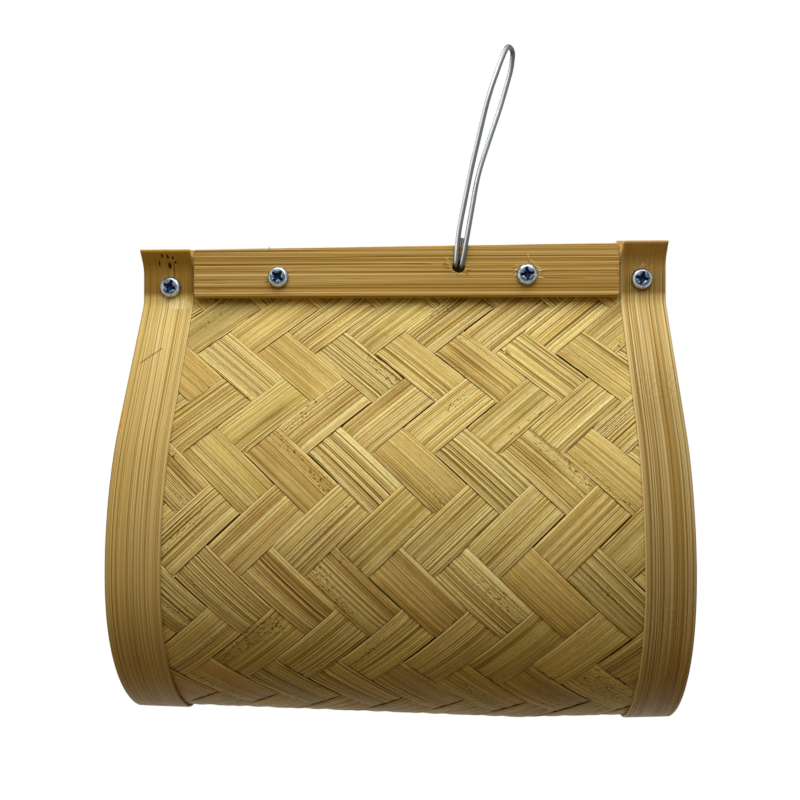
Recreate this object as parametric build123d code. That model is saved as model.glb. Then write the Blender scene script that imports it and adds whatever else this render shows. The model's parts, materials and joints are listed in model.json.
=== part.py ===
from build123d import *
from math import atan2, cos, radians, sin, tan
import os

os.makedirs("parts", exist_ok=True)

# A hanging insect house: a bamboo mat folded into a drop-shaped tunnel, open at both ends.
# Its two upper edges are clamped between two slats, and bamboo bands bind its open edges.
# Millimetres, +Z up, -Y to the front. The origin is the inner top of the wire hanger's loop.

# Whole house
HOUSE_WIDTH = 200.0
BELLY_DROP = 99.0          # from the slats' lower edge down to the widest level
BELLY_HALF_DEPTH = 48.1   # mat's outer face from the middle plane
KEEL_POINT = 12.4         # how much further than a round bottom the tunnel hangs
SIDE_LEAN_SHARE = 1.347    # lean of the straight upper side, to that of a line to the belly
KNEE_ANGLE = 66.0          # degrees of the side's arc below the belly
CREASE_RADIUS = 7.0

# Mat
MAT_THICKNESS = 1.3
PLY_GAP = 0.1
MAT_TOP_SETBACK = 1.6
MAT_EDGE_SETBACK = 0.5

# Clamping slats
SLAT_END_GAP = 0.6
SLAT_THICKNESS = 4.0
SLAT_LEFT_HEIGHT = 18.6
SLAT_RIGHT_HEIGHT = 20.2
SLAT_EDGE_RADIUS = 0.9
SLAT_END_RADIUS = 1.5

# Edge bands
LEFT_BAND_WIDTH = 19.4
RIGHT_BAND_WIDTH = 17.2
BAND_THICKNESS = 1.0
GLUE_GAP = 0.05
FLARE_ANGLE = 40.0
FLARE_RADIUS = 9.0
LEFT_FRONT_BAND_TOP = 18.0
LEFT_BACK_BAND_TOP = 20.0
RIGHT_FRONT_BAND_TOP = 20.4
RIGHT_BACK_BAND_TOP = 23.7
INNER_BAND_THICKNESS = 0.8
INNER_BAND_START = 7.0     # down the straight side from the end of the crease

# Pan head screws with a cross recess, and their nuts
SCREW_SHANK_RADIUS = 1.95
SCREW_HOLE_RADIUS = 2.2
SCREW_HEAD_RADIUS = 4.0
SCREW_HEAD_HEIGHT = 2.6
SCREW_HEAD_RIM = 1.2
SCREW_CROWN_RADIUS = 3.1
SCREW_CROWN_HEIGHT = 2.25
TOP_FLAT_SHARE = 0.4
RECESS_LENGTH = 4.2
RECESS_WIDTH = 0.9
RECESS_DEPTH = 1.3
THREAD_END = 1.2
NUT_ACROSS_FLATS = 7.0
NUT_HEIGHT = 3.2
NUT_BORE_RADIUS = 2.0
NUT_CORNER_SETBACK = 0.45
LEFT_BAND_SCREW_INSET = 10.7
LEFT_BAND_SCREW_Z = 4.4
RIGHT_BAND_SCREW_INSET = 9.3
RIGHT_BAND_SCREW_Z = 6.8
LEFT_SLAT_SCREW_INSET = 32.8
LEFT_SLAT_SCREW_Z = 7.7
RIGHT_SLAT_SCREW_INSET = 35.0
RIGHT_SLAT_SCREW_Z = 8.3

# Wire hanger, bent through one hole in the clamp
WIRE_RADIUS = 1.0
HANGER_HOLE_RADIUS = 2.4
HANGER_HOLE_X = 21.4
HANGER_HOLE_Z = 11.4
HANGER_HEIGHT = 84.4       # from the hole to the middle of the wire at the top
HANGER_LEAN = 13.35         # degrees to the right of upright, against its stop
HANGER_CLEARANCE = 0.3
LEG_SPACING = 2.1          # between the two wires where they pass the hole
BEND_RADIUS = 2.5
LOOP_WIDTH = 5.3
LOOP_DEPTH = 10.0
LEG_BOW = 2.4
SHORT_END = 7.0
CORNER_RUN_SHARE = 0.45

# Each leg's points, as shares of the hanger's height, of half the loop's width, of half the
# loop's depth and of the bow
LEG_SHARES = (
    (0.14, 0.66, 0.0, 0.52),
    (0.42, 0.54, 0.08, 1.0),
    (0.58, 0.74, 0.6, 0.78),
    (0.76, 1.0, 1.0, 0.48),
    (0.93, 0.81, 0.85, 0.03),
    (1.0, 0.46, 0.45, 0.0),
)

OVERRUN = 5.0


# Upper side: a hollow crease arc, a straight run and a round arc, each tangent to the next
clamp_half = PLY_GAP / 2 + MAT_THICKNESS
bulge = BELLY_HALF_DEPTH - clamp_half
lean = SIDE_LEAN_SHARE * atan2(bulge, BELLY_DROP)
lean_rise = 1 - cos(lean)
radius_sum = (BELLY_DROP * sin(lean) - bulge * cos(lean)) / lean_rise
side_radius = radius_sum - CREASE_RADIUS
side_run = (bulge - radius_sum * lean_rise) / sin(lean)
side_centre = (BELLY_HALF_DEPTH - side_radius, -BELLY_DROP)

# Lower side: an arc from the belly to the knee and one round the keel
knee = radians(KNEE_ANGLE)
keel_drop = BELLY_HALF_DEPTH + KEEL_POINT
knee_share = (1 - sin(knee)) / cos(knee)
lower_radius = (keel_drop - knee_share * BELLY_HALF_DEPTH) / (
    sin(knee) - knee_share * (1 - cos(knee))
)
lower_centre = (BELLY_HALF_DEPTH - lower_radius, -BELLY_DROP)
keel_radius = (BELLY_HALF_DEPTH - lower_radius * (1 - cos(knee))) / cos(knee)
keel_centre = (0, keel_radius - keel_drop - BELLY_DROP)

# Places across the house and in its clamp
half_width = HOUSE_WIDTH / 2
left_band_middle = LEFT_BAND_WIDTH / 2 - half_width
right_band_middle = half_width - RIGHT_BAND_WIDTH / 2
slat_left = LEFT_BAND_WIDTH + SLAT_END_GAP - half_width
slat_right = half_width - RIGHT_BAND_WIDTH - SLAT_END_GAP
slat_face = clamp_half + GLUE_GAP + SLAT_THICKNESS
band_face = clamp_half + GLUE_GAP + BAND_THICKNESS
slat_rise = (SLAT_RIGHT_HEIGHT - SLAT_LEFT_HEIGHT) / (slat_right - slat_left)
slat_top_at_hole = SLAT_LEFT_HEIGHT + slat_rise * (HANGER_HOLE_X - slat_left)
left_band_screw_x = LEFT_BAND_SCREW_INSET - half_width
right_band_screw_x = half_width - RIGHT_BAND_SCREW_INSET
left_slat_screw_x = slat_left + LEFT_SLAT_SCREW_INSET
right_slat_screw_x = slat_right - RIGHT_SLAT_SCREW_INSET


def front(depth, height, x=0.0):
    """A point in front of the middle plane by depth."""
    return Vector(x, -depth, height)


def around(centre, radius, angle):
    """A point of the outline's arc, angle in radians above the level."""
    return front(centre[0] + radius * cos(angle), centre[1] + radius * sin(angle))


def outline_from_line(offset, start):
    """The outline's edges from the straight side down to the keel, start down the side."""
    along = front(sin(lean), -cos(lean))
    line_end = around(side_centre, side_radius + offset, lean)
    line_start = line_end - along * (side_run - start)
    side_middle = around(side_centre, side_radius + offset, lean / 2)
    belly = around(side_centre, side_radius + offset, 0)
    lower_middle = around(lower_centre, lower_radius + offset, -knee / 2)
    knee_point = around(lower_centre, lower_radius + offset, -knee)
    keel_middle = around(keel_centre, keel_radius + offset, -(knee + radians(90)) / 2)
    keel = around(keel_centre, keel_radius + offset, -radians(90))
    return [
        Line(line_start, line_end),
        ThreePointArc(line_end, side_middle, belly),
        ThreePointArc(belly, lower_middle, knee_point),
        ThreePointArc(knee_point, keel_middle, keel),
    ]


def crease_edge(offset):
    """The hollow arc between the upright clamp and the straight side."""
    centre = (clamp_half + CREASE_RADIUS, 0)
    radius = CREASE_RADIUS - offset
    points = [around(centre, -radius, share * lean) for share in (0, 1 / 2, 1)]
    return ThreePointArc(*points)


def flared_edges(offset, land_top, top):
    """From a band's flared tip down to the crease."""
    level = clamp_half + offset
    centre = (level + FLARE_RADIUS - offset, land_top)
    radius = FLARE_RADIUS - offset
    flare = radians(FLARE_ANGLE)
    land, middle, arc_end = [
        front(centre[0] - radius * cos(share * flare), land_top + radius * sin(share * flare))
        for share in (0, 1 / 2, 1)
    ]
    tip = front(-arc_end.Y + (top - arc_end.Z) * tan(flare), top)
    return [Line(tip, arc_end), ThreePointArc(arc_end, middle, land), Line(land, front(level, 0))]


def half_strip(outer_edges, inner_edges, width):
    """A strip of even thickness between two runs of edges, centred on X zero."""
    outer = Wire(outer_edges)
    inner = Wire(inner_edges)
    ends = [Line(outer @ 0, inner @ 0), Line(outer @ 1, inner @ 1)]
    face = make_face(outer_edges + inner_edges + ends)
    return extrude(face, width / 2, dir=Axis.X.direction, both=True)


def both_halves(front_half, back_half):
    """The front half joined along the keel to the back one, which is drawn facing front."""
    return front_half + mirror(back_half, about=Plane.XZ)


def through_hole(x, z, radius):
    """A cylinder through the whole clamp from front to back."""
    length = 2 * (slat_face + OVERRUN)
    return Pos(x, 0, z) * Rot(90, 0, 0) * Cylinder(radius, length)


def screw_holes():
    """The four screws' holes."""
    places = [
        (left_band_screw_x, LEFT_BAND_SCREW_Z),
        (left_slat_screw_x, LEFT_SLAT_SCREW_Z),
        (right_slat_screw_x, RIGHT_SLAT_SCREW_Z),
        (right_band_screw_x, RIGHT_BAND_SCREW_Z),
    ]
    return [through_hole(x, z, SCREW_HOLE_RADIUS) for x, z in places]


def clamp_holes():
    """Every hole through the clamp, the hanger's among them."""
    return screw_holes() + [through_hole(HANGER_HOLE_X, HANGER_HOLE_Z, HANGER_HOLE_RADIUS)]


def woven_mat():
    """The mat as one folded sheet, its two upper edges upright in the clamp."""
    top = SLAT_LEFT_HEIGHT - MAT_TOP_SETBACK
    faces = []
    for offset in (0, -MAT_THICKNESS):
        level = clamp_half + offset
        upright = Line(front(level, top), front(level, 0))
        faces.append([upright, crease_edge(offset)] + outline_from_line(offset, 0))
    half = half_strip(faces[0], faces[1], HOUSE_WIDTH - 2 * MAT_EDGE_SETBACK)
    return both_halves(half, half) - clamp_holes()


def outer_band_half(width, top, land_top):
    """The front half of a band outside the mat, with its tip bent out above the screw."""
    runs = []
    for offset in (GLUE_GAP + BAND_THICKNESS, GLUE_GAP):
        crease = [crease_edge(offset)]
        runs.append(flared_edges(offset, land_top, top) + crease + outline_from_line(offset, 0))
    return half_strip(runs[0], runs[1], width)


def outer_band(middle, width, front_top, back_top, screw_z):
    """A whole band round the outside of one open edge."""
    land_top = screw_z + SCREW_HEAD_RADIUS + GLUE_GAP
    front_half = outer_band_half(width, front_top, land_top)
    band = both_halves(front_half, outer_band_half(width, back_top, land_top))
    return Pos(middle, 0, 0) * band - screw_holes()


def inner_band(middle, width):
    """A band inside one open edge, from below the crease round to the other side."""
    runs = []
    for offset in (-MAT_THICKNESS - GLUE_GAP, -MAT_THICKNESS - GLUE_GAP - INNER_BAND_THICKNESS):
        runs.append(outline_from_line(offset, INNER_BAND_START))
    half = half_strip(runs[0], runs[1], width)
    return Pos(middle, 0, 0) * both_halves(half, half)


def slat():
    """The front slat, slightly taller at its right end, with its front edges rounded."""
    corners = [
        Vector(slat_left, 0, 0),
        Vector(slat_right, 0, 0),
        Vector(slat_right, 0, SLAT_RIGHT_HEIGHT),
        Vector(slat_left, 0, SLAT_LEFT_HEIGHT),
    ]
    face = make_face(Polyline(*corners, close=True))
    body = extrude(face, SLAT_THICKNESS, dir=-Axis.Y.direction)
    body = fillet(body.edges().filter_by(Axis.Y), SLAT_END_RADIUS)
    body = fillet(body.faces().sort_by(Axis.Y)[0].edges(), SLAT_EDGE_RADIUS)
    return Pos(0, -(clamp_half + GLUE_GAP), 0) * body


def screw(x, z, seat, grip):
    """A pan head screw from the front, its head on the seat, its end past the nut."""
    crown = ThreePointArc(
        (SCREW_HEAD_RADIUS, SCREW_HEAD_RIM),
        (SCREW_CROWN_RADIUS, SCREW_CROWN_HEIGHT),
        (SCREW_CROWN_RADIUS * TOP_FLAT_SHARE, SCREW_HEAD_HEIGHT),
    )
    outline = Polyline(
        (SCREW_CROWN_RADIUS * TOP_FLAT_SHARE, SCREW_HEAD_HEIGHT),
        (0, SCREW_HEAD_HEIGHT),
        (0, 0),
        (SCREW_HEAD_RADIUS, 0),
        (SCREW_HEAD_RADIUS, SCREW_HEAD_RIM),
    )
    head = revolve(make_face(outline.edges() + crown.edges()), Axis.Y)
    slot = Box(RECESS_LENGTH, 2 * RECESS_DEPTH, RECESS_WIDTH)
    cross = Pos(0, SCREW_HEAD_HEIGHT, 0) * (slot + Rot(0, 90, 0) * slot)
    length = grip + NUT_HEIGHT + THREAD_END
    shank = Pos(0, -length / 2, 0) * Rot(90, 0, 0) * Cylinder(SCREW_SHANK_RADIUS, length)
    return Pos(x, -seat, z) * Rot(0, 0, 180) * (head + shank - cross)


def nut(x, z, seat):
    """A hexagon nut on the back, with its outer corners turned off."""
    corner_radius = NUT_ACROSS_FLATS / 2 / cos(radians(30))
    prism = extrude(RegularPolygon(corner_radius, 6), NUT_HEIGHT)
    turned = chamfer(
        Cylinder(corner_radius, NUT_HEIGHT, align=(Align.CENTER, Align.CENTER, Align.MIN))
        .edges()
        .sort_by(Axis.Z)[-1],
        NUT_CORNER_SETBACK,
    )
    bore = Cylinder(NUT_BORE_RADIUS, 2 * (NUT_HEIGHT + OVERRUN))
    return Pos(x, seat, z) * Rot(-90, 0, 0) * ((prism & turned) - bore)


def hanger_point(height, sideways, depth):
    """A point of the hanger, by height along its lean from the hole, sideways and in depth."""
    tilt = radians(HANGER_LEAN)
    x = HANGER_HOLE_X + height * sin(tilt) + sideways * cos(tilt)
    z = HANGER_HOLE_Z + height * cos(tilt) - sideways * sin(tilt)
    return Vector(x, -depth, z)


def leg_points(side, leg_depth):
    """One front leg from the hole up to its side of the loop's top."""
    points = [hanger_point(0, side * LEG_SPACING / 2, leg_depth)]
    for height_share, width_share, depth_share, bow_share in LEG_SHARES:
        sideways = side * width_share * LOOP_WIDTH / 2 - bow_share * LEG_BOW
        depth = leg_depth - side * depth_share * LOOP_DEPTH / 2
        points.append(hanger_point(height_share * HANGER_HEIGHT, sideways, depth))
    return points


def corner_radii(points):
    """The largest radius at each corner, no more than the tight bends' at a right angle."""
    radii = []
    for before, corner, after in zip(points, points[1:], points[2:]):
        turn = radians((corner - before).get_angle(after - corner))
        run = min((corner - before).length, (after - corner).length)
        radius = CORNER_RUN_SHARE * run / tan(turn / 2)
        radii.append(BEND_RADIUS if turn > radians(80) else radius)
    return radii


def wire_hanger():
    """One length of wire: over the top edge, through the hole, round the loop and back."""
    leg_depth = slat_face + HANGER_CLEARANCE + WIRE_RADIUS
    half_spacing = LEG_SPACING / 2
    tilt = radians(HANGER_LEAN)
    top_gap = slat_top_at_hole - HANGER_HOLE_Z + WIRE_RADIUS + HANGER_CLEARANCE
    over = (top_gap + half_spacing * sin(tilt)) / cos(tilt)
    over_end = leg_depth - WIRE_RADIUS - HANGER_CLEARANCE
    left_tail = [
        hanger_point(over, -half_spacing, over_end),
        hanger_point(over, -half_spacing, -leg_depth),
        hanger_point(0, -half_spacing, -leg_depth),
    ]
    right_tail = [
        hanger_point(0, half_spacing, -leg_depth),
        hanger_point(SHORT_END, half_spacing, -leg_depth),
    ]
    left_leg = leg_points(-1, leg_depth)
    right_leg = leg_points(1, leg_depth)
    points = left_tail + left_leg + right_leg[::-1] + right_tail
    path = FilletPolyline(*points, radius=corner_radii(points))
    section = Plane(origin=path @ 0, z_dir=path % 0) * Circle(WIRE_RADIUS)
    wire = sweep(section, path=path)
    print("wire hanger", round(path.length, 1), "mm long, volume ratio",
          round(wire.volume / (section.area * path.length), 4))
    return wire


def to_origin(part):
    """Move a part from the house's own middle to the loop's inner top."""
    loop_depth = slat_face + HANGER_CLEARANCE + WIRE_RADIUS
    loop = hanger_point(HANGER_HEIGHT - WIRE_RADIUS, 0, loop_depth)
    return Pos(-loop.X, -loop.Y, -loop.Z) * part


front_slat = slat() - clamp_holes()
back_slat = mirror(slat(), about=Plane.XZ) - clamp_holes()
slat_grip = 2 * slat_face
band_grip = 2 * band_face

nodes = {
    "woven_mat": woven_mat(),
    "left_outer_band": outer_band(
        left_band_middle,
        LEFT_BAND_WIDTH,
        LEFT_FRONT_BAND_TOP,
        LEFT_BACK_BAND_TOP,
        LEFT_BAND_SCREW_Z,
    ),
    "right_outer_band": outer_band(
        right_band_middle,
        RIGHT_BAND_WIDTH,
        RIGHT_FRONT_BAND_TOP,
        RIGHT_BACK_BAND_TOP,
        RIGHT_BAND_SCREW_Z,
    ),
    "left_inner_band": inner_band(left_band_middle, LEFT_BAND_WIDTH),
    "right_inner_band": inner_band(right_band_middle, RIGHT_BAND_WIDTH),
    "front_slat": front_slat,
    "back_slat": back_slat,
    "left_slat_screw": screw(left_slat_screw_x, LEFT_SLAT_SCREW_Z, slat_face, slat_grip),
    "right_slat_screw": screw(right_slat_screw_x, RIGHT_SLAT_SCREW_Z, slat_face, slat_grip),
    "left_band_screw": screw(left_band_screw_x, LEFT_BAND_SCREW_Z, band_face, band_grip),
    "right_band_screw": screw(right_band_screw_x, RIGHT_BAND_SCREW_Z, band_face, band_grip),
    "left_slat_nut": nut(left_slat_screw_x, LEFT_SLAT_SCREW_Z, slat_face),
    "right_slat_nut": nut(right_slat_screw_x, RIGHT_SLAT_SCREW_Z, slat_face),
    "left_band_nut": nut(left_band_screw_x, LEFT_BAND_SCREW_Z, band_face),
    "right_band_nut": nut(right_band_screw_x, RIGHT_BAND_SCREW_Z, band_face),
    "wire_hanger": wire_hanger(),
}

for name, part in nodes.items():
    export_step(to_origin(part), os.path.join("parts", name + ".step"))
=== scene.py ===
import json
from math import atan2, ceil, cos, floor, hypot, pi, radians, sin, tan
import bpy
import bmesh
from mathutils import Matrix, Vector


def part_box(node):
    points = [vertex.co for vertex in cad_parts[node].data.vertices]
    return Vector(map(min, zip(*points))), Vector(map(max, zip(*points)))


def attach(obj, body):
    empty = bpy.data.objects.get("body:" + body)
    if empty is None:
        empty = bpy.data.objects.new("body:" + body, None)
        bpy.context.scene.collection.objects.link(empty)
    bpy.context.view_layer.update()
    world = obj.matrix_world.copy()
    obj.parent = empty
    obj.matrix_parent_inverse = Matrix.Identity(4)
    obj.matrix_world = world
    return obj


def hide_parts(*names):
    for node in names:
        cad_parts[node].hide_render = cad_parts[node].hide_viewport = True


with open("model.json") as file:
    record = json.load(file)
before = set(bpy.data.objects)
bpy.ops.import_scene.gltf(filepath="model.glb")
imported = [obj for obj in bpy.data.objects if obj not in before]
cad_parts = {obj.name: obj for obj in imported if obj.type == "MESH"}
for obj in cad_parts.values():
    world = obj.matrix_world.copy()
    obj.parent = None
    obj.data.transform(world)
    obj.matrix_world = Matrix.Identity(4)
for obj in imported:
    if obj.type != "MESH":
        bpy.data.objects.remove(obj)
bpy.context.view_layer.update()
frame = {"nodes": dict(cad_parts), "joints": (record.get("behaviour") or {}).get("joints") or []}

# The house: a tunnel of woven bamboo, clamped at the top and hung from a wire.
# MM turns millimetres to metres. All places are in the frame's axes, with the front at -Y.
MM = 0.001
MERGE_DISTANCE = 0.001 * MM
# Strips and bands are worn thinner from here out, counted across from -0.5 to 0.5
WORN_FROM = 0.34

# Outline of the tunnel
BELLY_DROP = 99.0 * MM
SIDE_LEAN_SHARE = 1.347
KNEE_ANGLE = radians(66.0)
CREASE_RADIUS = 7.0 * MM
MAT_THICKNESS = 1.3 * MM
PLY_GAP = 0.1 * MM
GLUE_GAP = 0.05 * MM
OUTLINE_STEP = 0.8 * MM
KEEL_LOWEST = 44.0 * MM
KEEL_RISE = {"left": 4.0 * MM, "right": 2.0 * MM}

# Weave: a strip passes over two strips and under two, and each row of floats leans one way
STRIP_THICKNESS = 0.6 * MM
STEP_ACROSS = 22.2 * MM
STEP_DOWN = 21.4 * MM
CELL_LENGTH = hypot(STEP_ACROSS, STEP_DOWN) / 2
STRIP_FILL = 0.995
STRIP_HEIGHT = 0.34 * MM
FLOAT_RAMP = 0.17
STRIP_STEPS = 190
WEAVE_CORNER_X = -54.1 * MM
WEAVE_CORNER_DOWN = 26.3 * MM
STRIP_WANDER = 0.031
STRIP_RIPPLE = 0.03
STRIP_CUTS = 7
STRIP_EDGE_SHARE = 0.5

# Bands round the open edges
BAND_THICKNESS = 1.0 * MM
INNER_BAND_THICKNESS = 0.8 * MM
INNER_BAND_START = 7.0 * MM
FLARE_ANGLE = radians(40.0)
FLARE_RADIUS = 9.0 * MM
FRONT_TIP = {"left": 18.0 * MM, "right": 20.4 * MM}
BACK_TIP_WORN = {"left": 0.0, "right": 0.9 * MM}
BAND_STEPS = 480
BAND_CUTS = 13
BAND_EDGE_WAVE = 0.22 * MM
BAND_EDGE_SHARE = 0.45
BAND_CROWN = 0.8

# Pan head screws and hexagon nuts
HEAD_RADIUS = 4.0 * MM
HEAD_HEIGHT = 2.6 * MM
RECESS_HALF_WIDTH = 0.62 * MM
RECESS_HALF_LENGTH = 2.7 * MM
RECESS_MIDDLE = 1.75 * MM
RECESS_DEPTH = 1.5 * MM
# A cutting wing's length and width as shares of the recess's, above the head and at its bottom
WING_ABOVE = (1.12, 1.05)
WING_BOTTOM = (0.55, 0.7)
THREAD_RADIUS = 1.95 * MM
THREAD_PITCH = 0.7 * MM
THREAD_DEPTH = 0.35 * MM
THREAD_END = 1.2 * MM
NUT_ACROSS_FLATS = 7.0 * MM
NUT_HEIGHT = 3.2 * MM
NUT_CORNER_SETBACK = 0.45 * MM
SCREW_TURNING_STEPS = 32
NUT_TURNING_STEPS = 48
RECESS_TURNS = {"left_band": 20, "left_slat": 38, "right_slat": -8, "right_band": 12}
NUT_TURNS = (7, 22, -12, 3)

# Torn fibres, start and end in mm: from a screw's middle, from the hanger's hole (no name),
# and on the mat from the house's middle at the crease
SPLINTERS = {
    "left_slat_screw": (
        (-3.5, -0.4, -5.2, 0.7), (-3.4, -1.2, -5.4, -1.5), (3.7, 1.8, 5.0, 2.9),
        (-3.7, 10.8, -3.2, 11.7)),
    "right_slat_screw": (
        (0.9, 3.6, 0.3, 7.9), (0.9, 4.0, 2.0, 6.0), (1.3, 5.6, 3.4, 3.6),
        (3.0, 3.6, 6.3, 1.2), (3.8, 1.2, 6.9, 1.8), (3.7, -0.7, 6.6, -1.5),
        (4.4, 2.6, 5.6, 0.4), (-3.3, 2.2, -5.5, 0.7), (-3.5, 3.4, -6.1, 2.6),
        (-3.6, 0.2, -5.0, -0.9)),
    "right_band_screw": (
        (-0.8, 3.8, 0.8, 6.2), (0.2, 4.0, 1.7, 5.6), (-2.4, 3.2, -3.3, 4.8)),
    "": (
        (-2.9, 0.7, -5.9, 1.7), (-3.1, 1.5, -5.2, 3.4), (-2.7, 0.0, -5.3, -0.4),
        (-3.1, 1.3, -4.5, 3.0), (-3.1, 1.6, -6.2, 0.8), (-2.9, 0.4, -4.7, 2.2),
        (2.6, -0.7, 4.6, -1.0), (2.1, -1.5, 3.8, -2.9), (2.8, 0.2, 3.8, 0.5),
        (-0.4, -2.2, -0.8, -3.0), (0.5, -2.2, 1.4, -3.4), (-1.4, -1.8, -3.6, -2.4)),
    "woven_mat": (
        (38.3, -21.0, 39.9, -19.5), (38.6, -21.6, 40.6, -20.7), (38.1, -21.3, 39.2, -22.8),
        (37.5, -20.3, 38.7, -21.9), (39.2, -20.2, 40.1, -21.8)),
}
SPLINTER_THICKNESS = 0.45 * MM
SPLINTER_LIFT = 0.6 * MM

# Wire hanger
WIRE_RADIUS = 1.0 * MM
SLAT_LEFT_HEIGHT = 18.6 * MM
HANGER_LEAN = radians(13.35)
HANGER_HEIGHT = 84.4 * MM
HANGER_CLEARANCE = 0.3 * MM
LEG_SPACING = 2.1 * MM
BEND_RADIUS = 2.5 * MM
LOOP_WIDTH = 5.3 * MM
LOOP_DEPTH = 10.0 * MM
LEG_BOW = 2.4 * MM
SHORT_END = 7.0 * MM
CORNER_RUN_SHARE = 0.45
TIGHT_TURN = radians(80)
BEND_POINTS = 14
WIRE_SIDES = 24
# Up a leg: shares of the hanger's height, the loop's width and depth, and the legs' bow
LEG_SHARES = (
    (0.14, 0.66, 0.0, 0.52),
    (0.42, 0.54, 0.08, 1.0),
    (0.58, 0.74, 0.6, 0.78),
    (0.76, 1.0, 1.0, 0.48),
    (0.93, 0.81, 0.85, 0.03),
    (1.0, 0.46, 0.45, 0.0),
)

# Camera, from the photograph's perspective
IMAGE_PIXELS = 800
FOCAL_PIXELS = 1020
SENSOR_MM = 36.0
CAMERA_DISTANCE = 390.0 * MM
CAMERA_YAW = radians(2.13)
AIM_RIGHT_OF_MIDDLE = -0.9 * MM
AIM_BELOW_CREASE = 39.1 * MM

# Lamps: name, place from their aim in metres, side in metres, power in watts, colour
LAMP_AIM_BELOW_CREASE = 60 * MM
LAMPS = (
    ("window above", (0.03, -0.2, 0.38), 0.5, 2.52, "#F9F8FF"),
    ("room in front", (-0.15, -0.75, 0.45), 0.5, 0.45, "#FFE6B4"),
    ("window to the left", (-0.55, -0.5, 0.2), 0.25, 0.35, "#FFF0D0"),
    ("room behind", (-0.25, 0.8, 0.35), 0.6, 4.5, "#FFFFFF"),
)
SURROUNDINGS_STRENGTH = 0.13

# Places taken from the frame
mat_low, mat_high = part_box("woven_mat")
slat_low, slat_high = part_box("front_slat")
house_x = (mat_low[0] + mat_high[0]) / 2
house_y = (mat_low[1] + mat_high[1]) / 2
crease_z = slat_low[2]
mat_half_width = (mat_high[0] - mat_low[0]) / 2
mat_top = mat_high[2] - crease_z
mat_drop = crease_z - mat_low[2]
belly_half = (mat_high[1] - mat_low[1]) / 2
clamp_half = PLY_GAP / 2 + MAT_THICKNESS
slat_face = house_y - slat_low[1]
hanger_hinge = Vector(frame["joints"][0]["pos_m"])

# Kinds of node in frequent use; a second word is the node's operation
MAP_RANGE = "ShaderNodeMapRange"
NOISE = "ShaderNodeTexNoise"
COMBINE_XYZ = "ShaderNodeCombineXYZ"
SEPARATE_XYZ = "ShaderNodeSeparateXYZ"
ATTRIBUTE = "ShaderNodeAttribute"
STORE = "GeometryNodeStoreNamedAttribute"
STORED = "GeometryNodeInputNamedAttribute"
PLUS = "ShaderNodeMath ADD"
MINUS = "ShaderNodeMath SUBTRACT"
TIMES = "ShaderNodeMath MULTIPLY"
TIMES_PLUS = "ShaderNodeMath MULTIPLY_ADD"
ABSOLUTE = "ShaderNodeMath ABSOLUTE"
SIGN = "ShaderNodeMath SIGN"
LARGER = "ShaderNodeMath MAXIMUM"
SMALLER = "ShaderNodeMath MINIMUM"
VECTOR_PLUS = "ShaderNodeVectorMath ADD"
VECTOR_TIMES = "ShaderNodeVectorMath MULTIPLY"
VECTOR_LENGTH = "ShaderNodeVectorMath LENGTH"


def linear(hex_colour):
    """An sRGB hex colour as linear RGBA."""
    channels = [int(hex_colour[i:i + 2], 16) / 255 for i in (1, 3, 5)]
    return [c / 12.92 if c <= 0.04045 else ((c + 0.055) / 1.055) ** 2.4 for c in channels] + [1.0]


def add(tree, kind, *feeds, named=(), stops=(), **settings):
    """Adds a node with its operation, settings and ramp, and feeds it in order and by name."""
    kind, _, operation = kind.partition(" ")
    node = tree.nodes.new(kind)
    if operation:
        node.operation = operation
    for setting, value in settings.items():
        setattr(node, setting, value)
    for number, (spot, hex_colour) in enumerate(stops):
        elements = node.color_ramp.elements
        element = elements[number] if number < 2 else elements.new(spot)
        element.position = spot
        element.color = linear(hex_colour)
    for place, value in [*enumerate(feeds), *dict(named).items()]:
        if isinstance(value, bpy.types.Node):
            value = value.outputs[0]
        if isinstance(value, bpy.types.NodeSocket):
            tree.links.new(value, node.inputs[place])
        elif value is not None:
            node.inputs[place].default_value = value
    return node


def new_piece(name, mesh):
    """An object at the origin that holds the mesh."""
    piece = bpy.data.objects.new(name, mesh)
    bpy.context.scene.collection.objects.link(piece)
    return piece


def piece_from(name, shape):
    """A bmesh as a piece of that name."""
    mesh = bpy.data.meshes.new(name)
    shape.to_mesh(mesh)
    shape.free()
    return new_piece(name, mesh)


def point_piece(name, points, chained=False, **marks):
    """A piece of points, loose or joined by edges, with its marks stored on them."""
    mesh = bpy.data.meshes.new(name)
    mesh.from_pydata(points, [(i, i + 1) for i in range(len(points) - 1)] if chained else [], [])
    for label, values in marks.items():
        kind, field = (("FLOAT", "value") if len(values) == len(points)
                       else ("FLOAT_VECTOR", "vector"))
        mesh.attributes.new(label, kind, "POINT").data.foreach_set(field, values)
    return new_piece(name, mesh)


def keep_shape(piece):
    """Makes what a piece's modifiers give its plain mesh."""
    depsgraph = bpy.context.evaluated_depsgraph_get()
    mesh = bpy.data.meshes.new_from_object(piece.evaluated_get(depsgraph))
    piece.modifiers.clear()
    piece.data = mesh


def box_middle(node, depth=0.0):
    """The middle of a node's box in width and height, at that depth behind its front."""
    low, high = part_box(node)
    return Vector(((low[0] + high[0]) / 2, low[1] + depth, (low[2] + high[2]) / 2))


# Outline

def upper_side():
    """Lean and length of the straight upper side, and the radius of the arc below it."""
    bulge = belly_half - clamp_half
    lean = SIDE_LEAN_SHARE * atan2(bulge, BELLY_DROP)
    rise = 1 - cos(lean)
    radius_sum = (BELLY_DROP * sin(lean) - bulge * cos(lean)) / rise
    return lean, (bulge - radius_sum * rise) / sin(lean), radius_sum - CREASE_RADIUS


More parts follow.
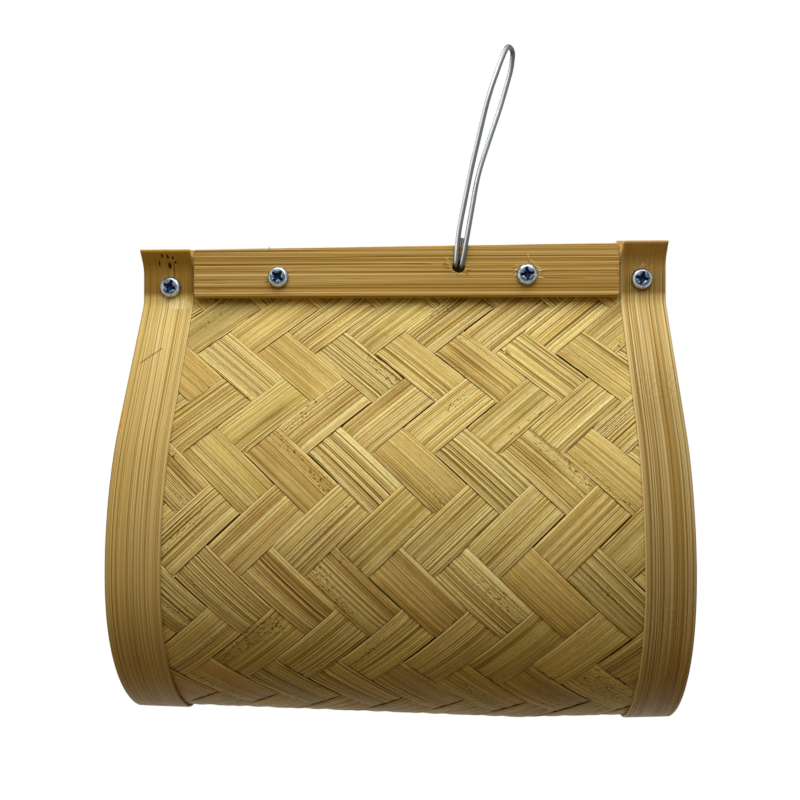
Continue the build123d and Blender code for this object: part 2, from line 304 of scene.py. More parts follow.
def lower_side():
    """Radii of the arc from the belly to the knee and of the one round the keel."""
    below = mat_drop - BELLY_DROP
    share = (1 - sin(KNEE_ANGLE)) / cos(KNEE_ANGLE)
    lower = (below - share * belly_half) / (sin(KNEE_ANGLE) - share * (1 - cos(KNEE_ANGLE)))
    return lower, (belly_half - lower * (1 - cos(KNEE_ANGLE))) / cos(KNEE_ANGLE)


side_lean, side_run, side_radius = upper_side()
lower_radius, keel_radius = lower_side()


def arc(middle, radius, start, end):
    """Points of an arc as (depth, height), from one angle above the level to another."""
    count = max(2, round(abs((end - start) * radius) / OUTLINE_STEP))
    angles = [start + (end - start) * i / count for i in range(count + 1)]
    return [(middle[0] + radius * cos(a), middle[1] + radius * sin(a)) for a in angles]


def run_points(start, end):
    """Points of a straight run as (depth, height)."""
    count = max(1, round((Vector(end) - Vector(start)).length / OUTLINE_STEP))
    return [tuple(Vector(start).lerp(Vector(end), i / count)) for i in range(count + 1)]


def without_repeats(points):
    """The points with those that repeat the one before left out."""
    kept = [points[0]]
    for point in points[1:]:
        if (Vector(point) - Vector(kept[-1])).length > OUTLINE_STEP / 100:
            kept.append(point)
    return kept


def lower_half(offset, start):
    """From start down the straight side to the keel, offset out from the mat's outer face."""
    side = arc((belly_half - side_radius, -BELLY_DROP), side_radius + offset, side_lean, 0)
    top = Vector(side[0]) - Vector((sin(side_lean), -cos(side_lean))) * (side_run - start)
    lower_middle = (belly_half - lower_radius, -BELLY_DROP)
    lower = arc(lower_middle, lower_radius + offset, 0, -KNEE_ANGLE)
    keel = arc((0, keel_radius - mat_drop), keel_radius + offset, -KNEE_ANGLE, -pi / 2)
    return run_points(top, side[0]) + side + lower + keel


def crease(offset):
    """The hollow arc under the clamp."""
    return arc((clamp_half + CREASE_RADIUS, 0), offset - CREASE_RADIUS, 0, side_lean)


def mat_half():
    """One half of the mat's middle line, from its upper edge to the keel."""
    offset = -MAT_THICKNESS / 2
    level = clamp_half + offset
    return run_points((level, mat_top), (level, 0)) + crease(offset) + lower_half(offset, 0)


def outer_band_half(tip, land):
    """One half of an outer band's middle line, its tip flared from land up."""
    offset = GLUE_GAP + BAND_THICKNESS / 2
    level = clamp_half + offset
    radius = FLARE_RADIUS - offset
    flare = arc((level + radius, land), -radius, -FLARE_ANGLE, 0)
    top = (flare[0][0] + (tip - flare[0][1]) * tan(FLARE_ANGLE), tip)
    upper = run_points(top, flare[0]) + flare + run_points(flare[-1], (level, 0))
    return upper + crease(offset) + lower_half(offset, 0)


def inner_band_half():
    """One half of an inner band's middle line."""
    return lower_half(-MAT_THICKNESS - GLUE_GAP - INNER_BAND_THICKNESS / 2, INNER_BAND_START)


def route_piece(name, front_half, back_half):
    """A piece of edges down the front of the tunnel, through its keel and up the back."""
    front = [(house_x, house_y - depth, crease_z + height) for depth, height in front_half]
    back = [(house_x, house_y + depth, crease_z + height) for depth, height in back_half]
    return point_piece(name, without_repeats(front + back[::-1]), chained=True)


# Geometry Nodes

def new_tree(name, **inputs):
    """A Geometry Nodes tree with named inputs of each kind, and its input sockets by name."""
    tree = bpy.data.node_groups.new(name, "GeometryNodeTree")
    tree.interface.new_socket("Geometry", in_out="INPUT", socket_type="NodeSocketGeometry")
    tree.interface.new_socket("Geometry", in_out="OUTPUT", socket_type="NodeSocketGeometry")
    for kind, labels in inputs.items():
        for label in labels.split():
            tree.interface.new_socket(label, in_out="INPUT", socket_type="NodeSocket" + kind)
    return tree, tree.nodes.new("NodeGroupInput").outputs


def end_tree(tree, geometry, material):
    """Realizes instances, smooths the shading and sets the material as the tree's last nodes."""
    real = add(tree, "GeometryNodeRealizeInstances", geometry)
    smooth = add(tree, "GeometryNodeSetShadeSmooth", real)
    dressed = add(tree, "GeometryNodeSetMaterial", smooth, named={"Material": material})
    add(tree, "NodeGroupOutput", dressed)
    return tree


def grow(piece, tree, **values):
    """Runs the tree on the piece with the values, and makes the result its plain mesh."""
    modifier = piece.modifiers.new("shape", "NODES")
    modifier.node_group = tree
    for item in tree.interface.items_tree:
        if item.in_out == "INPUT" and item.name in values:
            modifier[item.identifier] = values[item.name]
    keep_shape(piece)
    return piece


def keel_rise(tree, place):
    """How far a point is raised because the keel runs up towards the open ends."""
    x, _, z = add(tree, SEPARATE_XYZ, place).outputs
    rises = [add(tree, MAP_RANGE, x, house_x + KEEL_LOWEST, house_x + end, 0.0,
                 KEEL_RISE[side])
             for side, end in (("left", -mat_half_width), ("right", mat_half_width))]
    below = add(tree, MAP_RANGE, z, crease_z - BELLY_DROP, crease_z - mat_drop,
                interpolation_type="SMOOTHSTEP")
    rise = add(tree, TIMES, add(tree, PLUS, *rises), below)
    return add(tree, COMBINE_XYZ, 0.0, 0.0, rise)


def wrap(tree, route, x, down, offset):
    """The place of a point at x and down along the route, offset outwards from it."""
    sample = add(tree, "GeometryNodeSampleCurve", mode="LENGTH", use_all_curves=True,
                 named={"Curves": route, "Length": down})
    outward = add(tree, "ShaderNodeVectorMath CROSS_PRODUCT", sample.outputs["Tangent"], (1, 0, 0))
    stand = add(tree, "ShaderNodeVectorMath SCALE", outward, named={"Scale": offset})
    aside = add(tree, COMBINE_XYZ, x)
    moved = add(tree, VECTOR_PLUS, sample.outputs["Position"], stand)
    moved = add(tree, VECTOR_PLUS, moved, aside)
    return add(tree, VECTOR_PLUS, moved, keel_rise(tree, moved))


def eased_across(tree, across):
    """Cross positions from -0.5 to 0.5 crowded towards the edges, for a narrow worn edge."""
    size = add(tree, ABSOLUTE, across)
    rest = add(tree, TIMES_PLUS, size, -2.0, 1.0)
    cubed = add(tree, "ShaderNodeMath POWER", rest, 3.0)
    half = add(tree, TIMES_PLUS, cubed, -0.5, 0.5)
    side = add(tree, SIGN, across)
    return add(tree, TIMES, half, side)


def worn_thickness(tree, across, thickness, edge_share):
    """The thickness at a cross position, thinned to a share of it at the very edge."""
    size = add(tree, ABSOLUTE, across)
    share = add(tree, MAP_RANGE, size, WORN_FROM, 0.5, 1.0, edge_share)
    return add(tree, TIMES, share, thickness)


def strip_tree():
    """One family of strips, woven over two and under two along the mat's outline."""
    tree, given = new_tree(
        "woven strips", Int="first_strip strips seed", Material="material",
        Float="float_centre sum_low sum_high difference_low difference_high own_low own_high "
              "half_across half_down corner_down")
    route = add(tree, "GeometryNodeMeshToCurve", given["Geometry"])
    number = add(tree, "GeometryNodeInputIndex")
    marked = add(tree, "GeometryNodeMeshLine", given["strips"], named={"Offset": (0, 0, 0)})
    strip = add(tree, PLUS, number, given["first_strip"])
    tints = {"strip": strip.outputs[0]}
    for turn, label in enumerate(("drift", "tone", "slip")):
        seed = add(tree, PLUS, given["seed"], float(turn))
        draw = add(tree, "FunctionNodeRandomValue", named={2: 0.0, 3: 1.0, 7: number, 8: seed})
        tints[label] = draw.outputs[1]
    for label, value in tints.items():
        marked = add(tree, STORE, marked, named={"Name": label, "Value": value})
    blank = add(tree, "GeometryNodeMeshCube", (1, 1, 1), STRIP_STEPS, STRIP_CUTS, 2)
    placed = add(tree, "GeometryNodeInstanceOnPoints", marked, named={"Instance": blank})
    solid = add(tree, "GeometryNodeRealizeInstances", placed)
    local = add(tree, SEPARATE_XYZ, add(tree, "GeometryNodeInputPosition")).outputs
    strip, drift, tone, slip = [
        add(tree, STORED, label) for label in ("strip", "drift", "tone", "slip")]

    # A place in the weave: own counts strips of this family, cell those of the other one
    filled = add(tree, TIMES, eased_across(tree, local[1]), STRIP_FILL)
    shift = add(tree, MINUS, drift, 0.5)
    centre = add(tree, TIMES_PLUS, shift, STRIP_WANDER, strip)
    own = add(tree, "ShaderNodeClamp", add(tree, PLUS, add(tree, PLUS, centre, 0.5), filled),
              given["own_low"], given["own_high"])
    low = add(tree, LARGER, add(tree, MINUS, given["sum_low"], own),
              add(tree, PLUS, given["difference_low"], own))
    high = add(tree, SMALLER, add(tree, MINUS, given["sum_high"], own),
               add(tree, PLUS, given["difference_high"], own))
    high = add(tree, LARGER, low, high)
    span = add(tree, MINUS, high, low)
    cell = add(tree, TIMES_PLUS, add(tree, PLUS, local[0], 0.5), span, low)
    skew = add(tree, TIMES, add(tree, MINUS, slip, 0.5), STRIP_WANDER)
    bend = add(tree, "ShaderNodeMath SINE", add(tree, TIMES, cell, 0.7))
    own = add(tree, TIMES_PLUS, skew, bend, own)
    rim = add(tree, COMBINE_XYZ, cell, add(tree, SIGN, local[1]), add(tree, TIMES, strip, 3.7))
    frayed = add(tree, NOISE, named={"Vector": rim, "Scale": 1.6, "Detail": 4.0})
    frayed = add(tree, MINUS, frayed, 0.5)
    frayed = add(tree, TIMES, frayed, add(tree, ABSOLUTE, local[1]))
    own = add(tree, TIMES_PLUS, frayed, STRIP_RIPPLE, own)

    x = add(tree, TIMES_PLUS, add(tree, PLUS, cell, own), given["half_across"], WEAVE_CORNER_X)
    down = add(tree, TIMES_PLUS, add(tree, MINUS, cell, own),
               given["half_down"], given["corner_down"])
    phase = add(tree, MINUS, add(tree, MINUS, cell, strip), given["float_centre"])
    beat = add(tree, "ShaderNodeMath FLOORED_MODULO", add(tree, PLUS, phase, 2.0), 4.0)
    beat = add(tree, ABSOLUTE, add(tree, MINUS, beat, 2.0))
    rise = add(tree, MAP_RANGE, beat, 1 - FLOAT_RAMP, 1 + FLOAT_RAMP, STRIP_HEIGHT,
               -STRIP_HEIGHT, interpolation_type="SMOOTHSTEP")
    body = worn_thickness(tree, local[1], STRIP_THICKNESS, STRIP_EDGE_SHARE)
    facing = add(tree, SIGN, given["half_down"])
    skin = add(tree, TIMES, add(tree, TIMES, local[2], body), facing)
    place = wrap(tree, route, x, down, add(tree, PLUS, rise, skin))

    long = add(tree, TIMES, cell, CELL_LENGTH)
    wide = add(tree, TIMES, filled, CELL_LENGTH)
    grain = add(tree, COMBINE_XYZ, long, wide, tone)
    kept = add(tree, STORE, solid, data_type="FLOAT_VECTOR",
               named={"Name": "grain", "Value": grain})
    # How far a strip stands above or dives below its neighbour on its outer faces; the woven
    # material paints shade from it.
    outer = add(tree, SIGN, add(tree, TIMES, local[2], facing))
    shown = add(tree, TIMES, add(tree, "ShaderNodeMath DIVIDE", rise, STRIP_HEIGHT), outer)
    kept = add(tree, STORE, kept, named={"Name": "shown", "Value": shown})
    shaped = add(tree, "GeometryNodeSetPosition", kept, named={"Position": place})
    joined = add(tree, "GeometryNodeMergeByDistance", shaped, named={"Distance": MERGE_DISTANCE})
    return end_tree(tree, joined, given["material"])


def band_tree():
    """A band of even width bent along its route, thinner towards its edges."""
    tree, given = new_tree("bent band", Float="width thickness middle_x tone", Material="material")
    route = add(tree, "GeometryNodeMeshToCurve", given["Geometry"])
    length = add(tree, "GeometryNodeCurveLength", route)
    blank = add(tree, "GeometryNodeMeshCube", (1, 1, 1), BAND_STEPS, BAND_CUTS, 2)
    local = add(tree, SEPARATE_XYZ, add(tree, "GeometryNodeInputPosition")).outputs
    down = add(tree, TIMES, add(tree, PLUS, local[0], 0.5), length)
    across = add(tree, TIMES, eased_across(tree, local[1]), given["width"])
    spot = add(tree, COMBINE_XYZ, down, add(tree, SIGN, local[1]), given["tone"])
    ripple = add(tree, NOISE, named={"Vector": spot, "Scale": 0.045 / MM})
    ripple = add(tree, MINUS, ripple, 0.5)
    ripple = add(tree, TIMES, ripple, BAND_EDGE_WAVE)
    side = add(tree, PLUS, across, ripple)
    body = worn_thickness(tree, local[1], given["thickness"], BAND_EDGE_SHARE)
    crown = add(tree, TIMES, local[1], local[1])
    crown = add(tree, TIMES_PLUS, crown, -BAND_CROWN, 1.0)
    skin = add(tree, TIMES, add(tree, TIMES, local[2], body), crown)
    place = wrap(tree, route, add(tree, PLUS, side, given["middle_x"]), down, skin)
    grain = add(tree, COMBINE_XYZ, down, across, given["tone"])
    kept = add(tree, STORE, blank, data_type="FLOAT_VECTOR",
               named={"Name": "grain", "Value": grain})
    left = add(tree, MINUS, length, down)
    tip = add(tree, SMALLER, down, left)
    kept = add(tree, STORE, kept, named={"Name": "tip", "Value": tip})
    shaped = add(tree, "GeometryNodeSetPosition", kept, named={"Position": place})
    return end_tree(tree, shaped, given["material"])


def wire_tree():
    """A round wire along the edges, bent at each corner to the radius stored there."""
    tree, given = new_tree("bent wire", Material="material")
    route = add(tree, "GeometryNodeMeshToCurve", given["Geometry"])
    bend = add(tree, STORED, "bend")
    bent = add(tree, "GeometryNodeFilletCurve", route, mode="POLY",
               named={"Count": BEND_POINTS, "Radius": bend, "Limit Radius": True})
    ring = add(tree, "GeometryNodeCurvePrimitiveCircle", WIRE_SIDES,
               named={"Radius": WIRE_RADIUS})
    tube = add(tree, "GeometryNodeCurveToMesh", bent, ring, named={"Fill Caps": True})
    normal = add(tree, "GeometryNodeInputNormal")
    # Painted highlight: how squarely the surface faces front-left or back-right, stored for the
    # wire's material.
    facing = add(tree, "ShaderNodeVectorMath DOT_PRODUCT", normal, (0.6, 0.8, 0.0))
    rubbed = add(tree, ABSOLUTE, facing.outputs["Value"])
    marked = add(tree, STORE, tube, named={"Name": "rubbed", "Value": rubbed})
    return end_tree(tree, marked, given["material"])


def fastener_tree():
    """A copy of the blank at each point, turned by the point's own angles."""
    tree, given = new_tree("fasteners", Object="blank", Material="material")
    shape = add(tree, "GeometryNodeObjectInfo", given["blank"]).outputs["Geometry"]
    turn = add(tree, STORED, "turn", data_type="FLOAT_VECTOR")
    marked = add(tree, STORE, shape, data_type="FLOAT_VECTOR",
                 named={"Name": "local", "Value": add(tree, "GeometryNodeInputPosition")})
    copies = add(tree, "GeometryNodeInstanceOnPoints", given["Geometry"],
                 named={"Instance": marked, "Rotation": turn})
    return end_tree(tree, copies, given["material"])


def sliver_tree():
    """A thin splinter at each point, along the point's own aim and of its own length."""
    tree, given = new_tree("slivers", Material="material")
    aim = add(tree, STORED, "aim", data_type="FLOAT_VECTOR")
    reach = add(tree, VECTOR_LENGTH, aim).outputs["Value"]
    spike = add(tree, "GeometryNodeMeshCone", 5, named={
        "Radius Top": 0.15, "Radius Bottom": 0.5, "Depth": 1.0})
    turn = add(tree, "FunctionNodeAlignRotationToVector", named={"Vector": aim})
    size = add(tree, COMBINE_XYZ, SPLINTER_THICKNESS, SPLINTER_THICKNESS, reach)
    copies = add(tree, "GeometryNodeInstanceOnPoints", given["Geometry"],
                 named={"Instance": spike.outputs["Mesh"], "Rotation": turn, "Scale": size})
    return end_tree(tree, copies, given["material"])


# Materials

def make_material(name, surface):
    """A material of the surface that a function below makes in its tree."""
    material = bpy.data.materials.new(name)
    material.use_nodes = True
    tree = material.node_tree
    tree.nodes.clear()
    add(tree, "ShaderNodeOutputMaterial", surface(tree))
    return material


def streaks(tree, place, length, width):
    """Noise drawn out along the fibres, in streaks of about that length and width."""
    stretched = add(tree, VECTOR_TIMES, place, (1 / length, 1 / width, 1 / width))
    return add(tree, NOISE, named={"Vector": stretched, "Scale": 1.0, "Detail": 2.5})


def coated(tree, colour, *coats):
    """The colour with other colours over it, one after another, each by its own amount."""
    for amount, hex_colour in coats:
        colour = add(tree, "ShaderNodeMix", amount, data_type="RGBA",
                     named={6: colour, 7: linear(hex_colour)}).outputs[2]
    return colour


def fibre_layers(tree, place, colour, layers, strength=1.0):
    """The colour with layers of streaks: length, width, empty and full noise, share, colour."""
    for length, width, empty, full, share, hex_colour in layers:
        noise = streaks(tree, place, length * MM, width * MM)
        amount = add(tree, MAP_RANGE, noise, empty, full, 0.0, share)
        amount = add(tree, TIMES, amount, strength)
        colour = coated(tree, colour, (amount, hex_colour))
    return colour


def zoned(tree, colour, place, *zones):
    """The colour with tints that come or go along a place: from and to in mm, shares, colour."""
    for start, end, first, last, hex_colour in zones:
        amount = add(tree, MAP_RANGE, place, start * MM, end * MM, first, last)
        colour = coated(tree, colour, (amount, hex_colour))
    return colour


def satin_fibres(tree, place, colour, roughness, relief, strength=1.0, gloss=0.14):
    """A dry satin surface with raised fibres, coarse ones and fine ones."""
    coarse = streaks(tree, place, 150 * MM, 0.8 * MM)
    fine = streaks(tree, place, 90 * MM, 0.32 * MM)
    ridges = add(tree, PLUS, add(tree, TIMES, coarse, 2.0), fine)
    ridges = add(tree, TIMES, ridges, strength)
    bump = add(tree, "ShaderNodeBump", named={"Height": ridges, "Distance": relief})
    sheen = add(tree, MAP_RANGE, fine, 0.3, 0.7, roughness - 0.08, roughness + 0.1)
    return add(tree, "ShaderNodeBsdfPrincipled", colour, named={
        "Roughness": sheen, "Normal": bump, "IOR": 1.45, "Specular IOR Level": gloss,
        "Specular Tint": linear("#F0C264")})


def blots(tree, place, spots):
    """A mask of soft-edged spots: along and across in mm, and half length and half width."""
    ragged = add(tree, NOISE, named={"Vector": place, "Scale": 0.7 / MM})
    ragged = add(tree, MINUS, ragged, 0.5)
    mask = 0.0
    for along, across, half_length, half_width in spots:
        apart = add(tree, "ShaderNodeVectorMath SUBTRACT", place, (along * MM, across * MM, 0))
        scaled = add(tree, VECTOR_TIMES, apart, (1 / (half_length * MM), 1 / (half_width * MM), 0))
        reach = add(tree, VECTOR_LENGTH, scaled).outputs["Value"]
        reach = add(tree, PLUS, reach, ragged)
        spot = add(tree, MAP_RANGE, reach, 0.75, 1.15, 1.0, 0.0)
        mask = add(tree, LARGER, spot, mask)
    return mask


def woven_bamboo(tree):
    """Split bamboo strips: satin straw fibres with silvery threads, each strip of its tone,
    with painted shade along their edges and where one dives under another.
    """
    grain = add(tree, ATTRIBUTE, attribute_name="grain").outputs["Vector"]
    _, across, tone = add(tree, SEPARATE_XYZ, grain).outputs
    colour = add(tree, "ShaderNodeValToRGB", tone, stops=(
        (0.0, "#CCB850"), (0.14, "#E2CE70"), (0.28, "#BA883C"), (0.42, "#BCA044"),
        (0.56, "#82742E"), (0.7, "#D2BA5A"), (0.84, "#A67834"), (1.0, "#B0A046")))
    plainness = add(tree, "ShaderNodeTexWhiteNoise", noise_dimensions="1D", named={"W": tone})
    coarseness = add(tree, MAP_RANGE, plainness, 0.1, 0.7, 0.4, 1.0)
    colour = fibre_layers(tree, grain, colour, (
        (45, 24, 0.54, 0.38, 0.75, "#866426"),
        (45, 21, 0.52, 0.64, 0.5, "#E6CC78"),
        (190, 3.4, 0.55, 0.37, 0.32, "#8C6A28"),
        (170, 2.6, 0.46, 0.60, 0.3, "#EAD384"),
    ))
    colour = fibre_layers(tree, grain, colour, (
        (240, 0.54, 0.47, 0.41, 0.8, "#735016"),
        (240, 0.48, 0.53, 0.58, 0.85, "#E8D47E"),
        (200, 0.36, 0.44, 0.39, 0.9, "#54360A"),
        (160, 0.27, 0.46, 0.41, 0.85, "#5C3C0E"),
        (200, 0.34, 0.55, 0.59, 0.95, "#F4E698"),
        (160, 0.26, 0.54, 0.59, 0.9, "#FAF0A8"),
    ), coarseness)
    colour = fibre_layers(tree, grain, colour, ((2.5, 0.16, 0.52, 0.36, 0.35, "#806024"),))
    blotch = streaks(tree, grain, 40 * MM, 9 * MM)
    blotch = add(tree, MAP_RANGE, blotch, 0.58, 0.66, 0.0, 0.9)
    speck = streaks(tree, grain, 1.1 * MM, 0.5 * MM)
    speck = add(tree, MAP_RANGE, speck, 0.57, 0.63)
    speck = add(tree, TIMES, speck, blotch)
    size = add(tree, ABSOLUTE, across)
    rim = add(tree, MAP_RANGE, size, 6.8 * MM, 7.1 * MM, 0.0, 0.8)
    uneven = streaks(tree, grain, 14 * MM, 6 * MM)
    uneven = add(tree, MAP_RANGE, uneven, 0.42, 0.58)
    rim = add(tree, TIMES, rim, uneven)
    # Painted shade: dark along each strip's very edges, in the thin gaps between strips.
    edge = add(tree, MAP_RANGE, size, 7.4 * MM, 7.58 * MM, 0.0, 0.9)
    # Painted shade where a strip dives under its neighbour, darker the deeper it lies; its gloss
    # is taken away there too.
    shown = add(tree, ATTRIBUTE, attribute_name="shown").outputs["Fac"]
    shown = add(tree, TIMES_PLUS, uneven, -0.06, shown)
    painted_shade_under = add(tree, MAP_RANGE, shown, -0.06, -0.5, 0.0, 0.94)
    colour = coated(tree, colour, (speck, "#4A2E10"), (rim, "#EBD68C"), (edge, "#3E1C06"),
                    (painted_shade_under, "#381404"))
    gloss = add(tree, MAP_RANGE, painted_shade_under, 0.0, 0.5, 0.14, 0.0)
    return satin_fibres(tree, grain, colour, 0.5, 0.12 * MM, coarseness, gloss)


def left_band_bamboo(tree):
    """A pale split band: fine even fibres, a top end darkened by painted shade where it flares
    down, with the dark spots of a node, a thin slanting crack below it, a painted highlight at the
    bend, painted shade darkening its lower part and a drop of resin at the edge."""
    grain = add(tree, ATTRIBUTE, attribute_name="grain").outputs["Vector"]
    tip = add(tree, ATTRIBUTE, attribute_name="tip").outputs["Fac"]
    colour = fibre_layers(tree, grain, linear("#D6BC70"), (
        (250, 3.0, 0.55, 0.37, 0.24, "#A08444"),
        (300, 0.6, 0.48, 0.41, 0.65, "#926E2C"),
        (300, 0.52, 0.52, 0.58, 0.7, "#EAD48C"),
        (260, 0.45, 0.46, 0.40, 0.7, "#785824"),
        (260, 0.42, 0.54, 0.60, 0.8, "#F2E2A0"),
    ))
    # Painted shade on the flared top end where it faces down, together with a node's stain; a
    # golden tint near the very tip; painted shade making the band darker and more saturated from
    # 36 mm down.
    colour = zoned(tree, colour, tip, (17.5, 19.5, 0.76, 0.0, "#745406"),
                   (2.0, 15.0, 0.45, 0.0, "#C69C38"), (36.0, 90.0, 0.0, 0.34, "#7E581A"))
    spots = blots(tree, grain, (
        (2.2, -1.4, 1.2, 0.35), (2.6, 0.7, 0.9, 0.4), (6.6, 0.9, 1.7, 0.65),
        (3.0, 2.6, 0.8, 0.4), (5.2, 3.3, 0.6, 0.5), (5.4, -3.0, 1.5, 0.3),
        (9.0, 2.5, 4.0, 0.16)))
    crack = [(43.6 + 0.5 * step, 0.6 - 0.52 * step, 0.4, 0.38) for step in range(14)]
    crack = add(tree, TIMES, blots(tree, grain, crack), 0.6)
    # Painted highlight: a pale sheen across the bend of the crease, streaked along the fibres.
    bent = blots(tree, grain, ((22.4, 4.6, 2.4, 4.6),))
    thread = add(tree, MAP_RANGE, streaks(tree, grain, 30 * MM, 0.5 * MM), 0.4, 0.62)
    bent = add(tree, TIMES, bent, thread)
    bent = add(tree, TIMES, bent, 0.6)
    resin = blots(tree, grain, ((74.0, -9.4, 2.4, 0.5), (77.5, -9.3, 1.3, 0.8)))
    colour = coated(tree, colour, (spots, "#1C1004"), (crack, "#4A3010"), (bent, "#FBF0C4"),
                    (resin, "#C98A12"))
    return satin_fibres(tree, grain, colour, 0.48, 0.09 * MM)


def right_band_bamboo(tree):
    """A split band from near the skin: grey-green and orange-brown stripes lengthwise, with
    painted shade on its flared top end, a darker stretch of painted shade at half height where it
    turns from the light, painted shade lower down and a pale lip along its left edge."""
    grain = add(tree, ATTRIBUTE, attribute_name="grain").outputs["Vector"]
    across = add(tree, SEPARATE_XYZ, grain).outputs[1]
    tip = add(tree, ATTRIBUTE, attribute_name="tip").outputs["Fac"]
    colour = fibre_layers(tree, grain, linear("#C6A860"), (
        (400, 1.4, 0.48, 0.54, 0.6, "#92885A"),
        (400, 1.0, 0.48, 0.42, 0.45, "#A4702C"),
        (300, 0.7, 0.51, 0.57, 0.75, "#E6D090"),
        (260, 0.45, 0.45, 0.40, 0.8, "#61431A"),
        (240, 0.4, 0.55, 0.60, 0.8, "#F2E2A4"),
    ))
    # Painted shade on the flared top end where it faces down, and darker, more saturated band from
    # 32 mm down; a golden tint near the very tip.
    colour = zoned(tree, colour, tip, (20.0, 22.0, 0.64, 0.0, "#6A4E0C"),
                   (3.0, 17.0, 0.6, 0.0, "#C49C50"), (32.0, 58.0, 0.0, 0.28, "#6C5010"))
    # Painted shade: a darker stretch at half height, where the band turns away from the light.
    painted_shade_half_height = blots(tree, grain, ((105.0, 0.0, 44.0, 60.0),))
    painted_shade_half_height = add(tree, TIMES, painted_shade_half_height, 0.26)
    colour = coated(tree, colour, (painted_shade_half_height, "#5A440C"))
    colour = zoned(tree, colour, across, (-7.9, -8.2, 0.0, 0.7, "#E8D498"))
    return satin_fibres(tree, grain, colour, 0.45, 0.1 * MM)


def slat_bamboo(tree):
    """A planed slat: warm honey bamboo with amber streaks along it and a satin face."""
    place = add(tree, "ShaderNodeTexCoord").outputs["Object"]
    x, y, z = add(tree, SEPARATE_XYZ, place).outputs
    place = add(tree, COMBINE_XYZ, x, z, y)
    colour = fibre_layers(tree, place, linear("#B4934C"), (
        (300, 5.0, 0.46, 0.60, 0.35, "#C09F54"),
        (280, 1.6, 0.50, 0.42, 0.35, "#9A7434"),
        (280, 0.75, 0.47, 0.41, 0.65, "#7E5A24"),
        (280, 0.55, 0.52, 0.57, 0.85, "#DCC480"),
        (240, 0.45, 0.46, 0.40, 0.6, "#6E4C1C"),
        (25, 0.6, 0.34, 0.27, 0.7, "#5E3E16"),
    ))
    return satin_fibres(tree, place, colour, 0.45, 0.08 * MM)


def torn_bamboo(tree):
    """Torn bamboo fibres: dry cream slivers, amber in places."""
    place = add(tree, "ShaderNodeTexCoord").outputs["Object"]
    patch = add(tree, NOISE, named={"Vector": place, "Scale": 0.5 / MM})
    colour = add(tree, "ShaderNodeValToRGB", patch, stops=(
        (0.32, "#B9893C"), (0.48, "#E0C078"), (0.62, "#F8E8B4")))
    return add(tree, "ShaderNodeBsdfPrincipled", colour, named={
        "Roughness": 0.6, "Specular IOR Level": 0.2})


def zinc_steel(tree):
    """Zinc-plated steel: a bluish satin metal, with a painted dark blue reflection on the head's
    middle, painted shade in the recess and painted glints.
    """
    place = add(tree, "ShaderNodeTexCoord").outputs["Object"]
    local = add(tree, ATTRIBUTE, attribute_name="local").outputs["Vector"]
    # On a screw: depth behind the head's seat, and reach from the axis
    depth = add(tree, SEPARATE_XYZ, local).outputs[1]
    flat = add(tree, VECTOR_TIMES, local, (1, 0, 1))
    reach = add(tree, VECTOR_LENGTH, flat).outputs["Value"]
    mottle = add(tree, NOISE, named={"Vector": place, "Scale": 0.9 / MM})
    colour = add(tree, "ShaderNodeValToRGB", mottle, stops=((0.35, "#8E959B"), (0.65, "#BCC3C8")))
    # Painted reflection: a dark blue middle on the head's face.
    head = add(tree, MAP_RANGE, depth, -2.0 * MM, -2.2 * MM)
    middle = add(tree, MAP_RANGE, reach, 2.75 * MM, 3.1 * MM, 0.85, 0.0)
    middle = add(tree, TIMES, middle, head)
    # Painted shade inside the cross recess.
    sunk = add(tree, MAP_RANGE, depth, -2.44 * MM, -2.3 * MM)
    front = add(tree, MAP_RANGE, depth, -0.9 * MM, -1.0 * MM)
    inside = add(tree, MAP_RANGE, reach, 2.75 * MM, 2.85 * MM, 1.0, 0.0)
    recess = add(tree, TIMES, add(tree, TIMES, sunk, front), inside)
    # Painted highlight: small bright glints on the head's middle.
    painted_glint = add(tree, NOISE, named={"Vector": place, "Scale": 1.5 / MM})
    painted_glint = add(tree, MAP_RANGE, painted_glint, 0.64, 0.68)
    painted_glint = add(tree, TIMES, painted_glint, middle)
    colour = coated(tree, colour, (middle, "#253A52"), (recess, "#101A2A"), (painted_glint, "#E4EDF2"))
    rough = add(tree, MAP_RANGE, mottle, 0.3, 0.7, 0.2, 0.36)
    return add(tree, "ShaderNodeBsdfPrincipled", colour, named={
        "Metallic": 1.0, "Roughness": rough})


def drawn_steel(tree):
    """Drawn steel wire: dull grey, with a painted highlight in patches along two sides."""
    place = add(tree, "ShaderNodeTexCoord").outputs["Object"]
    patch = add(tree, NOISE, named={"Vector": place, "Scale": 0.026 / MM, "Detail": 4.0})
    colour = add(tree, "ShaderNodeValToRGB", patch, stops=((0.36, "#3C403E"), (0.62, "#666A68")))
    # Painted highlight along the two sides that face front-left and back-right, broken into
    # patches.
    rubbed = add(tree, ATTRIBUTE, attribute_name="rubbed").outputs["Fac"]
    rubbed = add(tree, MAP_RANGE, rubbed, 0.8, 1.0)
    highlight_patches = add(tree, MAP_RANGE, patch, 0.42, 0.58, 0.12, 0.85)
    rubbed = add(tree, TIMES, rubbed, highlight_patches)
    colour = coated(tree, colour, (rubbed, "#D4D7D5"))
    rough = add(tree, MAP_RANGE, patch, 0.3, 0.7, 0.22, 0.36)
    return add(tree, "ShaderNodeBsdfPrincipled", colour, named={
        "Metallic": 1.0, "Roughness": rough})


# Camera, lamps and world

